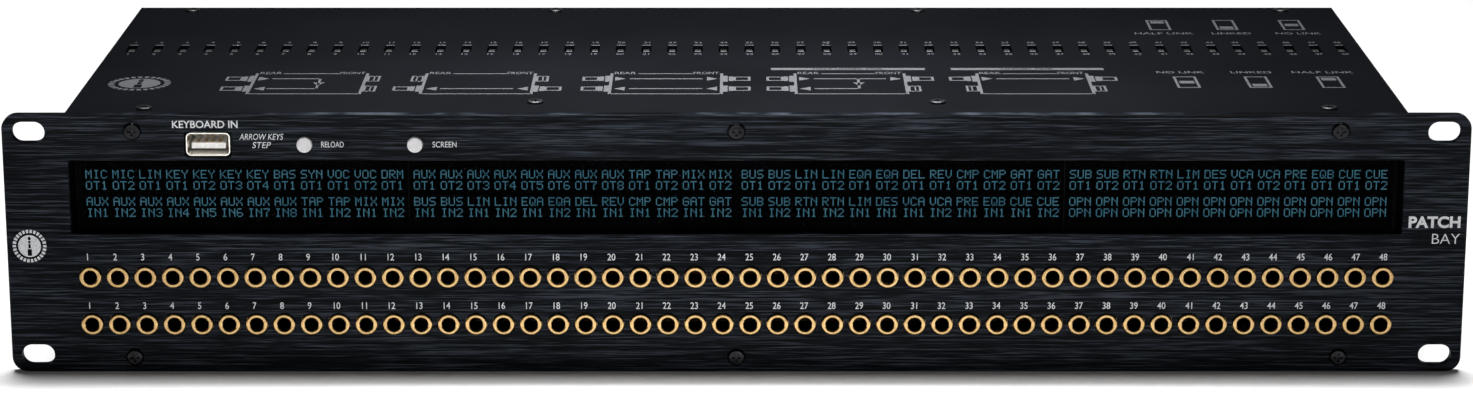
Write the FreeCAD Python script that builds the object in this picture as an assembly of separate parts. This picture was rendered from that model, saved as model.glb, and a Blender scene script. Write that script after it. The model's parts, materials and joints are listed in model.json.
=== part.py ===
import FreeCAD, Part
import math
import os

# Rack-mounting audio patch bay, 2U high: 96 miniature phone jacks in two rows, a long dot-matrix
# display above them, and 48 three-position normalling switches reached through the top cover.
#
# Frame: X runs along the panel, +Z up, and the front panel faces -Y. The origin is at the bottom
# centre of the whole unit. Depths are counted from the front panel's face towards the rear.

# ---- driving dimensions, millimetres ----

# Front panel, to the 19 inch rack standard
PANEL_W = 482.6
PANEL_H = 88.1
PANEL_T = 3.0
PANEL_CORNER_R = 5.0
PANEL_EDGE_BREAK = 0.3
RACK_SLOT_SPACING_X = 465.1
RACK_SLOT_SPACING_Z = 76.2
RACK_SLOT_LOW_Z = 5.95
RACK_SLOT_LEN = 10.9
RACK_SLOT_W = 7.0

# Jacks
CHANNELS = 48
JACK_PITCH = 9.11
UPPER_ROW_Z = 32.8
LOWER_ROW_Z = 16.5
JACK_HOLE_R = 3.85
BUSHING_R = 3.65
BORE_R = 2.2
BUSHING_PROUD = 0.9
BUSHING_END = 9.0
BUSHING_LIP_R = 0.55
SHOULDER_R = 4.2
SHOULDER_T = 1.2
HOUSING_W = 8.5
HOUSING_H = 12.0
HOUSING_END = 36.0
CAVITY_W = 5.4
CAVITY_H = 9.0
SPRING_W = 2.4
SPRING_T = 0.25
SPRING_END = 36.4
JACK_BOARD_DEPTH = 36.6

# Display
WINDOW_W = 439.9
WINDOW_H = 25.1
WINDOW_MID_Z = 60.05
WINDOW_CORNER_R = 1.0
WINDOW_RECESS = 0.8
PANE_GAP = 0.2
PANE_FLANGE_H = 27.7
PANE_FLANGE_T = 1.2
MODULES = 4
MODULE_PITCH = 108.4
MODULE_W = 108.0
MODULE_H = 27.6
MODULE_T = 2.0
MODULE_DEPTH = 4.6
DRIVER_DEPTH = 6.9
DRIVER_T = 1.4
BRACKET_DEPTH = 8.6

# Controls at the top left of the panel
CONTROL_Z = 78.0
CONTROL_HOLE_R = 1.2
USB_X = -173.6
USB_HOLE_W = 15.7
USB_HOLE_H = 8.8
USB_SHELL_W = 13.1
USB_SHELL_H = 5.9
USB_FLARE_W = 14.4
USB_FLARE_H = 7.7
USB_SHEET_T = 0.35
USB_MOUTH_DEPTH = 0.2
USB_FLARE_END = 2.4
USB_TONGUE_W = 11.2
USB_TONGUE_T = 1.9
USB_TONGUE_DROP = 0.8
USB_TONGUE_DEPTH = 1.9
USB_BASE_DEPTH = 12.8
USB_CONTACT_XS = (-3.5, -1.0, 1.0, 3.5)
UPDATE_X = -141.9
DISPLAY_X = -105.6
CAP_R = 2.55
CAP_HOLE_R = 2.75
CAP_PROUD = 1.2
CAP_RIM_R = 0.4
CAP_FLANGE_R = 3.4
CAP_FLANGE_DEPTH = 3.3
CAP_STEM_R = 1.5
CAP_STEM_END = 13.0
TACT_W = 6.2
TACT_DEPTH = 11.0
CONTROL_BOARD_DEPTH = 17.0

# Case
CASE_W = 442.8
CASE_DEPTH = 175.0
CASE_LOW_Z = 0.8
CASE_TOP_Z = 87.3
SHEET_T = 1.2
SHEET_EDGE_R = 0.25
FLANGE_L = 11.8
LIP_TOP_Z = 10.0
RAIL_DEPTH = 26.0
RAIL_LOW_Z = 78.6
RAIL_NOTCH_TOP_Z = 83.0
SIDE_GAP = 0.3

# Screws, M3 with cross recess
SCREW_R = 1.5
SCREW_HOLE_R = 1.6
PANEL_SCREW_TOP_X = 198.4
PANEL_SCREW_TOP_Z = 82.5
PANEL_SCREW_LOW_X = 200.4
PANEL_SCREW_LOW_Z = 5.0
PANEL_SCREW_HEAD_R = 2.8
PANEL_SCREW_HEAD_PROUD = 0.8
PANEL_SCREW_SINK_R = 3.1
PANEL_SCREW_L = 9.0
PAN_HEAD_R = 2.7
COVER_SCREW_HEAD_H = 0.9
BASE_SCREW_HEAD_H = 0.7
PAN_SCREW_L = 6.0
RECESS_REACH = 1.5
RECESS_ARM = 0.84

# Normalling switches
SWITCH_DEPTH = 103.8
SWITCH_SLOT_W = 3.5
SWITCH_SLOT_L = 10.0
SWITCH_BODY_W = 7.4
SWITCH_BODY_L = 15.0
SWITCH_BODY_TOP = 83.4
SWITCH_BOARD_Z = 72.0
LEVER_W = 2.3
LEVER_L = 3.0
LEVER_TOP_Z = 86.8
LEVER_EDGE_R = 0.35
LEVER_GROOVE_W = 0.5
LEVER_SHOE_L = 5.0
LEVER_SHOE_W = 4.8
LEVER_SHOE_T = 2.4
LEVER_GAP = 0.3
LEVERS_PER_NODE = 2

# Boards
BOARD_T = 1.6

# Rear connectors
DSUB_COLUMNS = 6
DSUB_PITCH = 64.0
DSUB_ROWS_Z = (26.0, 60.0)
DSUB_FLANGE_W = 53.0
DSUB_FLANGE_H = 12.5
DSUB_FLANGE_T = 0.9
DSUB_FACE_W = 38.9
DSUB_FACE_H = 8.4
DSUB_PROUD = 6.0
DSUB_SKIN_T = 0.5
DSUB_INNER_L = 8.0
DSUB_INSERT_GAP = 0.05
DSUB_SIDE_ANGLE = math.radians(10)
JACKSCREW_SPACING = 47.04
JACKSCREW_R = 1.4
JACKSCREW_AF = 5.0
JACKSCREW_THREAD_R = 1.25
JACKSCREW_THREAD_L = 5.0
JACKSCREW_SHANK_L = 6.0
REAR_BOARD_DEPTH = 160.0
INLET_X = -206.0
INLET_Z = 60.0
INLET_BORE_R = 2.85
INLET_PIN_R = 1.05
INLET_BODY_R = 5.4
INLET_COLLAR_R = 7.0
INLET_BORE_L = 8.0

# Ribbon cables
RIBBON_W = 60.0
RIBBON_T = 0.9
RIBBON_PITCH = 70.0
RIBBON_COUNT = 6

# ---- frame ----

FRONT_REACH = CAP_PROUD
REAR_REACH = CASE_DEPTH + DSUB_PROUD
FACE_Y = (FRONT_REACH - REAR_REACH) / 2

V = FreeCAD.Vector
ALONG_X = V(1, 0, 0)
ALONG_Y = V(0, 1, 0)
ALONG_Z = V(0, 0, 1)

os.makedirs("parts", exist_ok=True)


# ---- helpers ----


def save(node, solids):
    """Write one node's solids to its STEP file."""
    group = [piece for solid in solids for piece in solid.Solids]
    shape = group[0] if len(group) == 1 else Part.makeCompound(group)
    shape.exportStep("parts/" + node + ".step")


def block(x0, x1, depth0, depth1, z0, z1):
    """A box between two X, two depths and two heights."""
    corner = V(x0, FACE_Y + depth0, z0)
    return Part.makeBox(x1 - x0, depth1 - depth0, z1 - z0, corner)


def slab(mid_x, width, depth0, depth1, mid_z, height):
    """A box centred on a point of the front panel."""
    low_x, low_z = mid_x - width / 2, mid_z - height / 2
    return block(low_x, low_x + width, depth0, depth1, low_z, low_z + height)


def block_at(x, width, length, z0, z1):
    """A box centred on a switch's middle position, between two heights."""
    near, far = SWITCH_DEPTH - length / 2, SWITCH_DEPTH + length / 2
    return block(x - width / 2, x + width / 2, near, far, z0, z1)


def rod(radius, x, z, depth0, depth1):
    """A cylinder along Y."""
    return Part.makeCylinder(radius, depth1 - depth0, V(x, FACE_Y + depth0, z), ALONG_Y)


def post(radius, x, depth, z0, z1):
    """A cylinder along Z."""
    return Part.makeCylinder(radius, z1 - z0, V(x, FACE_Y + depth, z0), ALONG_Z)


def drilled(solid, cutters):
    """The solid with all the cutters taken away."""
    return solid.cut(Part.makeCompound(cutters))


def edges_along(shape, direction):
    """The straight edges that run along a direction."""
    found = []
    for edge in shape.Edges:
        if isinstance(edge.Curve, (Part.Line, Part.LineSegment)):
            if abs(edge.tangentAt(edge.FirstParameter).dot(direction)) > 0.999:
                found.append(edge)
    return found


def rounded_slab(mid_x, width, depth0, depth1, mid_z, height, radius):
    """A box through the panel with its four corners rounded."""
    shape = slab(mid_x, width, depth0, depth1, mid_z, height)
    return shape.makeFillet(radius, edges_along(shape, ALONG_Y))


def rounded_outline(mid_x, width, depth, mid_z, height, radius):
    """The rounded rectangle's wire at one depth."""
    shape = rounded_slab(mid_x, width, depth, depth + 1, mid_z, height, radius)
    faces = sorted(shape.Faces, key=lambda face: face.CenterOfMass.y)
    return faces[0].OuterWire


def stadium(mid_x, mid_z, length, width, depth0, depth1):
    """A slot cutter with round ends, long along X."""
    reach = (length - width) / 2
    middle = slab(mid_x, 2 * reach, depth0, depth1, mid_z, width)
    ends = [rod(width / 2, mid_x + side * reach, mid_z, depth0, depth1) for side in (-1, 1)]
    return middle.fuse(ends).removeSplitter()


def hexagon(across_flats, x, z, depth0, depth1):
    """A hexagonal prism along Y."""
    corner_r = across_flats / math.sqrt(3)
    turns = [math.radians(60 * step + 30) for step in range(7)]
    ring = [V(x + corner_r * math.cos(t), FACE_Y + depth0, z + corner_r * math.sin(t)) for t in turns]
    return Part.Face(Part.makePolygon(ring)).extrude(V(0, depth1 - depth0, 0))


def copies(solid, places):
    """The solid copied to each offset."""
    made = []
    for place in places:
        twin = solid.copy()
        twin.translate(place)
        made.append(twin)
    return made


def channel_x(index):
    """X of a channel, counted from 0 at the left."""
    return (index - (CHANNELS - 1) / 2) * JACK_PITCH


def strip(points, thickness, mid_x, width):
    """A bent strip: (depth, z) points along one face, a thickness above them, a width along X."""
    low = [V(mid_x - width / 2, FACE_Y + depth, z) for depth, z in points]
    high = [point + V(0, 0, thickness) for point in reversed(low)]
    outline = Part.makePolygon(low + high + [low[0]])
    return Part.Face(outline).extrude(V(width, 0, 0))


# ---- screws ----


def cross_recess(x, depth, z, deep):
    """The cutter for a cross recess in a head that faces the front."""
    across = slab(x, 2 * RECESS_REACH, depth - 1, depth + deep, z, RECESS_ARM)
    upright = slab(x, RECESS_ARM, depth - 1, depth + deep, z, 2 * RECESS_REACH)
    return across.fuse(upright)


def panel_screw(x, z):
    """A raised countersunk screw in the front panel."""
    proud = PANEL_SCREW_HEAD_PROUD
    cone_l = PANEL_SCREW_HEAD_R - SCREW_R
    cone = Part.makeCone(PANEL_SCREW_HEAD_R, SCREW_R, cone_l, V(x, FACE_Y, z), ALONG_Y)
    crown = rod(PANEL_SCREW_HEAD_R, x, z, -proud, 0)
    front_edge = [e for e in crown.Edges if e.Closed and e.BoundBox.YMax < FACE_Y - proud + 0.01]
    crown = crown.makeFillet(0.9 * proud, front_edge)
    shank = rod(SCREW_R, x, z, 1, PANEL_SCREW_L)
    recess = cross_recess(x, -proud, z, 1.1)
    return crown.fuse([cone, shank]).cut(recess).removeSplitter()


def pan_screw(x, depth, seat_z, head_h, upside_down=False):
    """A pan-head screw whose head sits on a plate at seat_z, or hangs under it."""
    head = post(PAN_HEAD_R, x, depth, seat_z, seat_z + head_h)
    top_edge = [e for e in head.Edges if e.Closed and e.BoundBox.ZMin > seat_z + head_h - 0.01]
    head = head.makeFillet(0.6 * head_h, top_edge)
    shank = post(SCREW_R, x, depth, seat_z - PAN_SCREW_L, seat_z + 0.1)
    recess = cross_recess(x, 0, 0, 1)
    recess.rotate(V(x, FACE_Y, 0), ALONG_X, -90)
    recess.translate(V(0, depth, seat_z + 0.4 * head_h + 1))
    screw = head.fuse(shank).cut(recess)
    if upside_down:
        screw.rotate(V(x, FACE_Y + depth, seat_z), ALONG_X, 180)
    return screw


PANEL_SCREWS = [(x, PANEL_SCREW_TOP_Z) for x in (-PANEL_SCREW_TOP_X, 0, PANEL_SCREW_TOP_X)]
PANEL_SCREWS += [(x, PANEL_SCREW_LOW_Z) for x in (-PANEL_SCREW_LOW_X, 0, PANEL_SCREW_LOW_X)]

# (X, depth) of the cover screws: two pairs into the front rail and a rear row
RAIL_SCREWS = [(-196.0, 11.5), (-67.0, 20.3), (67.0, 20.3), (196.0, 11.5)]
REAR_SCREWS = [(x, 168.5) for x in (-201.5, -67.0, 67.0, 201.5)]


# ---- case ----


def front_panel():
    """The front plate with everything that is cut through it."""
    plate = slab(0, PANEL_W, 0, PANEL_T, PANEL_H / 2, PANEL_H)
    plate = plate.makeFillet(PANEL_CORNER_R, edges_along(plate, ALONG_Y))
    face = [e for e in plate.Edges if e.BoundBox.YMax < FACE_Y + 0.01]
    plate = plate.makeChamfer(PANEL_EDGE_BREAK, face)
    through = (-1, PANEL_T + 1)
    cutters = []
    for side in (-0.5, 0.5):
        for z in (RACK_SLOT_LOW_Z, RACK_SLOT_LOW_Z + RACK_SLOT_SPACING_Z):
            x = side * RACK_SLOT_SPACING_X
            cutters.append(stadium(x, z, RACK_SLOT_LEN, RACK_SLOT_W, *through))
    for index in range(CHANNELS):
        for z in (LOWER_ROW_Z, UPPER_ROW_Z):
            cutters.append(rod(JACK_HOLE_R, channel_x(index), z, *through))
    window = (0, WINDOW_W, *through, WINDOW_MID_Z, WINDOW_H, WINDOW_CORNER_R)
    cutters.append(rounded_slab(*window))
    cutters.append(rounded_slab(USB_X, USB_HOLE_W, *through, CONTROL_Z, USB_HOLE_H, CONTROL_HOLE_R))
    for x in (UPDATE_X, DISPLAY_X):
        cutters.append(rod(CAP_HOLE_R, x, CONTROL_Z, *through))
    for x, z in PANEL_SCREWS:
        cutters.append(rod(SCREW_HOLE_R, x, z, *through))
        sink_l = PANEL_SCREW_SINK_R - SCREW_HOLE_R
        sink = Part.makeCone(PANEL_SCREW_SINK_R, SCREW_HOLE_R, sink_l, V(x, FACE_Y, z), ALONG_Y)
        cutters.append(sink)
    return drilled(plate, cutters)


def is_fold(edge, half, z):
    """Whether an edge is the outside of a fold: at X of plus or minus half, and at this height."""
    middle = edge.CenterOfMass
    return abs(abs(middle.x) - half) < 0.01 and abs(middle.z - z) < 0.01


def chassis_tray():
    """Bottom, two side walls and a front lip, folded from one sheet."""
    half = CASE_W / 2
    wall_top = CASE_TOP_Z - SHEET_T
    rear = CASE_DEPTH - SHEET_T
    floor_top = CASE_LOW_Z + SHEET_T
    bottom = block(-half, half, PANEL_T, rear, CASE_LOW_Z, floor_top)
    left = block(-half, SHEET_T - half, PANEL_T, rear, CASE_LOW_Z, wall_top)
    right = block(half - SHEET_T, half, PANEL_T, rear, CASE_LOW_Z, wall_top)
    lip = block(-half, half, PANEL_T, PANEL_T + SHEET_T, CASE_LOW_Z, LIP_TOP_Z)
    tray = bottom.fuse([left, right, lip]).removeSplitter()
    folds = [e for e in edges_along(tray, ALONG_Y) if is_fold(e, half, CASE_LOW_Z)]
    tray = tray.makeFillet(SHEET_T, folds)
    cutters = []
    for x, z in PANEL_SCREWS:
        if z == PANEL_SCREW_LOW_Z:
            cutters.append(rod(SCREW_HOLE_R, x, z, 2, 6))
    for x, depth in BASE_SCREWS:
        cutters.append(post(SCREW_HOLE_R, x, depth, 0, floor_top + 0.5))
    return drilled(tray, cutters)


def front_rail():
    """L-section behind the panel's top edge, under the front of the cover."""
    half = CASE_W / 2 - SHEET_T - SIDE_GAP
    top = CASE_TOP_Z - SHEET_T
    upright = block(-half, half, PANEL_T, PANEL_T + SHEET_T, RAIL_LOW_Z, top)
    shelf = block(-half, half, PANEL_T, RAIL_DEPTH, top - SHEET_T, top)
    rail = upright.fuse(shelf).removeSplitter()
    notches = [(USB_X, USB_FLARE_W + 3.6), (UPDATE_X, 9.0), (DISPLAY_X, 9.0)]
    cutters = []
    for x, width in notches:
        cutters.append(block(x - width / 2, x + width / 2, 2, 5, CONTROL_Z, RAIL_NOTCH_TOP_Z))
    for x, z in PANEL_SCREWS:
        if z == PANEL_SCREW_TOP_Z:
            cutters.append(rod(SCREW_HOLE_R, x, z, 2, 6))
    for x, depth in RAIL_SCREWS:
        cutters.append(post(SCREW_HOLE_R, x, depth, top - 3, top + 1))
    return drilled(rail, cutters)


def top_cover():
    """Flat cover with one slot per switch and eight screw holes."""
    half = CASE_W / 2
    plate = block(-half, half, PANEL_T, CASE_DEPTH, CASE_TOP_Z - SHEET_T, CASE_TOP_Z)
    rim = [e for e in plate.Edges if e.BoundBox.ZMin > CASE_TOP_Z - 0.01]
    plate = plate.makeFillet(SHEET_EDGE_R, [e for e in rim if e.BoundBox.YMax > FACE_Y + PANEL_T + 0.1])
    through = (CASE_TOP_Z - SHEET_T - 1, CASE_TOP_Z + 1)
    cutters = []
    for index in range(CHANNELS):
        cutters.append(block_at(channel_x(index), SWITCH_SLOT_W, SWITCH_SLOT_L, *through))
    for x, depth in RAIL_SCREWS + REAR_SCREWS:
        cutters.append(post(SCREW_HOLE_R, x, depth, *through))
    return drilled(plate, cutters)


def rear_panel():
    """Rear plate with a flange under the cover and one on the tray's bottom."""
    half = CASE_W / 2 - SHEET_T - SIDE_GAP
    low = CASE_LOW_Z + SHEET_T
    top = CASE_TOP_Z - SHEET_T
    inner = CASE_DEPTH - SHEET_T
    plate = block(-half, half, inner, CASE_DEPTH, low, top)
    upper = block(-half, half, inner - FLANGE_L, inner, top - SHEET_T, top)
    lower = block(-half, half, inner - FLANGE_L, inner, low, low + SHEET_T)
    shape = plate.fuse([upper, lower]).removeSplitter()
    outside = [e for e in edges_along(shape, ALONG_X) if e.BoundBox.YMin > FACE_Y + CASE_DEPTH - 0.01]
    shape = shape.makeFillet(SHEET_T, outside)
    cutters = []
    for x, z in DSUB_PLACES:
        cutters.append(d_prism(x, z, DSUB_FACE_W + 0.6, DSUB_FACE_H + 0.6, inner - 1, CASE_DEPTH + 1))
        for screw_x in jackscrew_xs(x):
            cutters.append(rod(JACKSCREW_R + 0.15, screw_x, z, inner - 1, CASE_DEPTH + 1))
    cutters.append(rod(INLET_BODY_R + 0.1, INLET_X, INLET_Z, inner - 1, CASE_DEPTH + 1))
    for x, depth in REAR_SCREWS:
        cutters.append(post(SCREW_HOLE_R, x, depth, top - 3, top + 1))
        cutters.append(post(SCREW_HOLE_R, x, depth, low - 1, low + 3))
    return drilled(shape, cutters)


# ---- jacks ----


def jack_bushing(x, z):
    """Gold-plated sleeve with a rounded lip in front and a shoulder behind the panel."""
    sleeve = rod(BUSHING_R, x, z, -BUSHING_PROUD, BUSHING_END)
    sleeve = sleeve.fuse(rod(SHOULDER_R, x, z, PANEL_T + 0.1, PANEL_T + 0.1 + SHOULDER_T))
    sleeve = sleeve.cut(rod(BORE_R, x, z, -2, BUSHING_END + 1)).removeSplitter()
    mouth = [e for e in sleeve.Edges if e.Closed and e.BoundBox.YMax < FACE_Y - BUSHING_PROUD + 0.01]
    return sleeve.makeFillet(BUSHING_LIP_R, mouth)


def jack_housing(x, z):
    """Moulded housing: a rectangular tube that the contact springs sit in."""
    outer = slab(x, HOUSING_W, BUSHING_END, HOUSING_END, z, HOUSING_H)
    return outer.cut(slab(x, CAVITY_W, 0, HOUSING_END + 1, z, CAVITY_H))


def contact(points, x):
    """One contact strip: (depth, z) points from the board's end to the free end."""
    return strip(points, SPRING_T, x, SPRING_W)


def tip_spring(x, z):
    """Upper leaf that bears on the plug's tip, and the normal contact it rests against."""
    leaf = [(SPRING_END, z + 3.2), (28.0, z + 3.2), (24.5, z + 2.3), (22.5, z + 3.4)]
    normal = [(SPRING_END, z + 4.0), (26.0, z + 4.0)]
    return [contact(leaf, x), contact(normal, x)]


def ring_spring(x, z):
    """Lower leaf that bears on the plug's ring, and the normal contact it rests against."""
    leaf = [(SPRING_END, z - 3.4), (22.0, z - 3.4), (18.0, z - 2.5), (16.0, z - 3.6)]
    normal = [(SPRING_END, z - 4.3), (20.0, z - 4.3)]
    return [contact(leaf, x), contact(normal, x)]


def make_jacks():
    """Every jack of both rows, and the board behind them."""
    across = [V(channel_x(index), 0, 0) for index in range(CHANNELS)]
    rows = [V(0, 0, LOWER_ROW_Z), V(0, 0, UPPER_ROW_Z)]
    everywhere = [row + place for row in rows for place in across]
    for name, row in (("lower", rows[0]), ("upper", rows[1])):
        places = [row + place for place in across]
        save("jack_bushings_" + name, copies(jack_bushing(0, 0), places))
        save("jack_housings_" + name, copies(jack_housing(0, 0), places))
    save("jack_tip_springs", [s for leaf in tip_spring(0, 0) for s in copies(leaf, everywhere)])
    save("jack_ring_springs", [s for leaf in ring_spring(0, 0) for s in copies(leaf, everywhere)])
    save("jack_board", [block(-217, 217, JACK_BOARD_DEPTH, JACK_BOARD_DEPTH + BOARD_T, 6, 42)])


# ---- display ----


def display_window():
    """Smoked pane: a boss that fills the cut-out and a flange behind the panel."""
    width = WINDOW_W - 2 * PANE_GAP
    boss_h = WINDOW_H - 2 * PANE_GAP
    boss = (0, width, WINDOW_RECESS, PANEL_T + 0.1, WINDOW_MID_Z, boss_h, WINDOW_CORNER_R)
    flange = slab(0, width, PANEL_T + 0.1, PANEL_T + PANE_FLANGE_T, WINDOW_MID_Z, PANE_FLANGE_H)
    return rounded_slab(*boss).fuse(flange).removeSplitter()


def make_display():
    """Four dot-matrix modules in a row, their driver boards and the bracket behind them."""
    modules, drivers = [], []
    for index in range(MODULES):
        x = (index - (MODULES - 1) / 2) * MODULE_PITCH
        depth = MODULE_DEPTH + MODULE_T
        modules.append(slab(x, MODULE_W, MODULE_DEPTH, depth, WINDOW_MID_Z, MODULE_H))
        depth = DRIVER_DEPTH + DRIVER_T
        drivers.append(slab(x, MODULE_W, DRIVER_DEPTH, depth, WINDOW_MID_Z, MODULE_H))
    save("display_modules", modules)
    save("display_boards", drivers)
    half = MODULES * MODULE_PITCH / 2 + 1
    rear = BRACKET_DEPTH + SHEET_T
    plate = slab(0, 2 * half, BRACKET_DEPTH, rear, WINDOW_MID_Z, MODULE_H)
    tabs = [slab(side * half, SHEET_T, MODULE_DEPTH, rear, WINDOW_MID_Z, MODULE_H) for side in (-1, 1)]
    save("display_bracket", [plate.fuse(tabs).removeSplitter()])
    save("display_window", [display_window()])


# ---- USB socket and push buttons ----


def usb_shell():
    """Folded steel shell, flared at its mouth."""
    rear = CONTROL_BOARD_DEPTH

    def layer(inset):
        """The shell's outer skin, or its inner one when inset by the sheet."""
        sizes = (
            (USB_MOUTH_DEPTH, USB_FLARE_W, USB_FLARE_H, 1.6),
            (USB_FLARE_END, USB_SHELL_W, USB_SHELL_H, 1.0),
        )
        rings = []
        for depth, width, height, radius in sizes:
            size = (width - 2 * inset, depth, CONTROL_Z, height - 2 * inset, radius - inset)
            rings.append(rounded_outline(USB_X, *size))
        flare = Part.makeLoft(rings, True, True)
        width, height = USB_SHELL_W - 2 * inset, USB_SHELL_H - 2 * inset
        size = (width, USB_FLARE_END, rear, CONTROL_Z, height, 1.0 - inset)
        return flare.fuse(rounded_slab(USB_X, *size)).removeSplitter()

    return layer(0).cut(layer(USB_SHEET_T))


def make_usb():
    """The socket's shell, its white tongue and the four contacts on it."""
    save("usb_shell", [usb_shell()])
    base = slab(USB_X, 11.8, USB_BASE_DEPTH, CONTROL_BOARD_DEPTH - 0.2, CONTROL_Z, 4.8)
    middle = CONTROL_Z - USB_TONGUE_DROP
    tongue = slab(USB_X, USB_TONGUE_W, USB_TONGUE_DEPTH, USB_BASE_DEPTH, middle, USB_TONGUE_T)
    save("usb_tongue", [base.fuse(tongue).removeSplitter()])
    contacts = []
    for x in USB_CONTACT_XS:
        z = middle + USB_TONGUE_T / 2 + 0.15
        contacts.append(slab(USB_X + x, 1.0, USB_TONGUE_DEPTH + 0.7, USB_BASE_DEPTH, z, 0.3))
    save("usb_contacts", contacts)


def button(x):
    """Round cap with a flange behind the panel and a stem into its switch."""
    cap = rod(CAP_R, x, CONTROL_Z, -CAP_PROUD, CAP_FLANGE_DEPTH + 0.2)
    rim = [e for e in cap.Edges if e.Closed and e.BoundBox.YMax < FACE_Y - CAP_PROUD + 0.01]
    cap = cap.makeFillet(CAP_RIM_R, rim)
    flange = rod(CAP_FLANGE_R, x, CONTROL_Z, CAP_FLANGE_DEPTH, CAP_FLANGE_DEPTH + 1)
    stem = rod(CAP_STEM_R, x, CONTROL_Z, CAP_FLANGE_DEPTH + 1, CAP_STEM_END)
    return cap.fuse([flange, stem]).removeSplitter()


def tact_switch(x):
    """Square switch body, open in front for the button's stem."""
    body = slab(x, TACT_W, TACT_DEPTH, CONTROL_BOARD_DEPTH, CONTROL_Z, TACT_W)
    return body.cut(rod(CAP_STEM_R + 0.3, x, CONTROL_Z, TACT_DEPTH - 1, CAP_STEM_END + 2.2))


def make_controls():
    """The two buttons, their switches and the board behind them and the USB socket."""
    save("update_button", [button(UPDATE_X)])
    save("display_button", [button(DISPLAY_X)])
    save("tact_switches", [tact_switch(UPDATE_X), tact_switch(DISPLAY_X)])
    rear = CONTROL_BOARD_DEPTH + BOARD_T
    save("control_board", [block(-196, -92, CONTROL_BOARD_DEPTH, rear, 62, 84)])


# ---- normalling switches ----

# (X, depth) of the standoffs that carry the switch board, clear of the ribbons between them
STANDOFFS = [(x, depth) for x in (-212.0, -70.0, 70.0, 212.0) for depth in (90.0, 124.0)]
BASE_SCREWS = STANDOFFS + REAR_SCREWS


def switch_body(x):
    """Switch case with the slot that its lever slides in."""
    low = SWITCH_BOARD_Z + BOARD_T
    case = block_at(x, SWITCH_BODY_W, SWITCH_BODY_L, low, SWITCH_BODY_TOP)
    mouth = block_at(x, LEVER_W + 2 * LEVER_GAP, SWITCH_BODY_L - 5.2, low + 4, SWITCH_BODY_TOP + 1)
    guide_top = low + 4 + 2 * LEVER_GAP + LEVER_SHOE_T
    guide = block_at(x, LEVER_SHOE_W + 2 * LEVER_GAP, SWITCH_BODY_L - 3.2, low + 4, guide_top)
    return case.cut(mouth.fuse(guide))


def switch_lever(x):
    """Lever at its middle position: a shoe inside the case and a grooved thumb above it."""
    low = SWITCH_BOARD_Z + BOARD_T + 4 + LEVER_GAP
    shoe = block_at(x, LEVER_SHOE_W, LEVER_SHOE_L, low, low + LEVER_SHOE_T)
    thumb = block_at(x, LEVER_W, LEVER_L, low, LEVER_TOP_Z)
    rim = [e for e in thumb.Edges if e.BoundBox.ZMin > LEVER_TOP_Z - 0.01]
    thumb = thumb.makeFillet(LEVER_EDGE_R, rim)
    groove = block_at(x, LEVER_W + 1, LEVER_GROOVE_W, LEVER_TOP_Z - 0.4, LEVER_TOP_Z + 1)
    return shoe.fuse(thumb).removeSplitter().cut(groove)


def make_switches():
    """The switch board, its 48 switch cases, the levers in pairs, and the standoffs."""
    board = block(-217, 217, 84, 130, SWITCH_BOARD_Z, SWITCH_BOARD_Z + BOARD_T)
    save("switch_board", [board])
    across = [V(channel_x(index), 0, 0) for index in range(CHANNELS)]
    save("switch_bodies", copies(switch_body(0), across))
    lever = switch_lever(0)
    for first in range(0, CHANNELS, LEVERS_PER_NODE):
        last = first + LEVERS_PER_NODE
        node = "switch_levers_%02d_%02d" % (first + 1, last)
        save(node, copies(lever, across[first:last]))
    low = CASE_LOW_Z + SHEET_T
    posts = []
    for x, depth in STANDOFFS:
        upright = hexagon(5.0, x, 0, 0, SWITCH_BOARD_Z - low)
        upright.rotate(V(x, FACE_Y, 0), ALONG_X, 90)
        upright.translate(V(0, depth, low))
        posts.append(upright.cut(post(SCREW_HOLE_R, x, depth, low - 1, low + 8)))
    save("board_standoffs", posts)


# ---- rear connectors ----

DSUB_PLACES = [
    ((column - (DSUB_COLUMNS - 1) / 2) * DSUB_PITCH, z)
    for z in DSUB_ROWS_Z
    for column in range(DSUB_COLUMNS)
]


def d_prism(x, z, width, height, depth0, depth1):
    """D-shaped prism along Y, wide side up, with rounded corners."""
    top, low = width / 2, width / 2 - height * math.tan(DSUB_SIDE_ANGLE)
    y = FACE_Y + depth0
    corners = [(-low, -height / 2), (low, -height / 2), (top, height / 2), (-top, height / 2)]
    ring = [V(x + dx, y, z + dz) for dx, dz in corners]
    prism = Part.Face(Part.makePolygon(ring + [ring[0]])).extrude(V(0, depth1 - depth0, 0))
    return prism.makeFillet(height * 0.28, edges_along(prism, ALONG_Y))


def jackscrew_xs(x):
    """X of the two jackscrews beside a connector."""
    return (x - JACKSCREW_SPACING / 2, x + JACKSCREW_SPACING / 2)


def dsub_shell(x, z):
    """Flanged metal shell of a 25-way socket."""
    outside = CASE_DEPTH
    flange = rounded_slab(
        x, DSUB_FLANGE_W, outside, outside + DSUB_FLANGE_T, z, DSUB_FLANGE_H, 1.5
    )
    inside = outside - DSUB_INNER_L
    skin = d_prism(x, z, DSUB_FACE_W, DSUB_FACE_H, inside, outside + DSUB_PROUD - 0.1)
    width, height = DSUB_FACE_W - 2 * DSUB_SKIN_T, DSUB_FACE_H - 2 * DSUB_SKIN_T
    holes = [d_prism(x, z, width, height, inside - 1, outside + DSUB_PROUD + 1)]
    for screw_x in jackscrew_xs(x):
        holes.append(rod(JACKSCREW_R + 0.15, screw_x, z, outside - 1, outside + 2))
    return drilled(flange.fuse(skin).removeSplitter(), holes)


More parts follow.
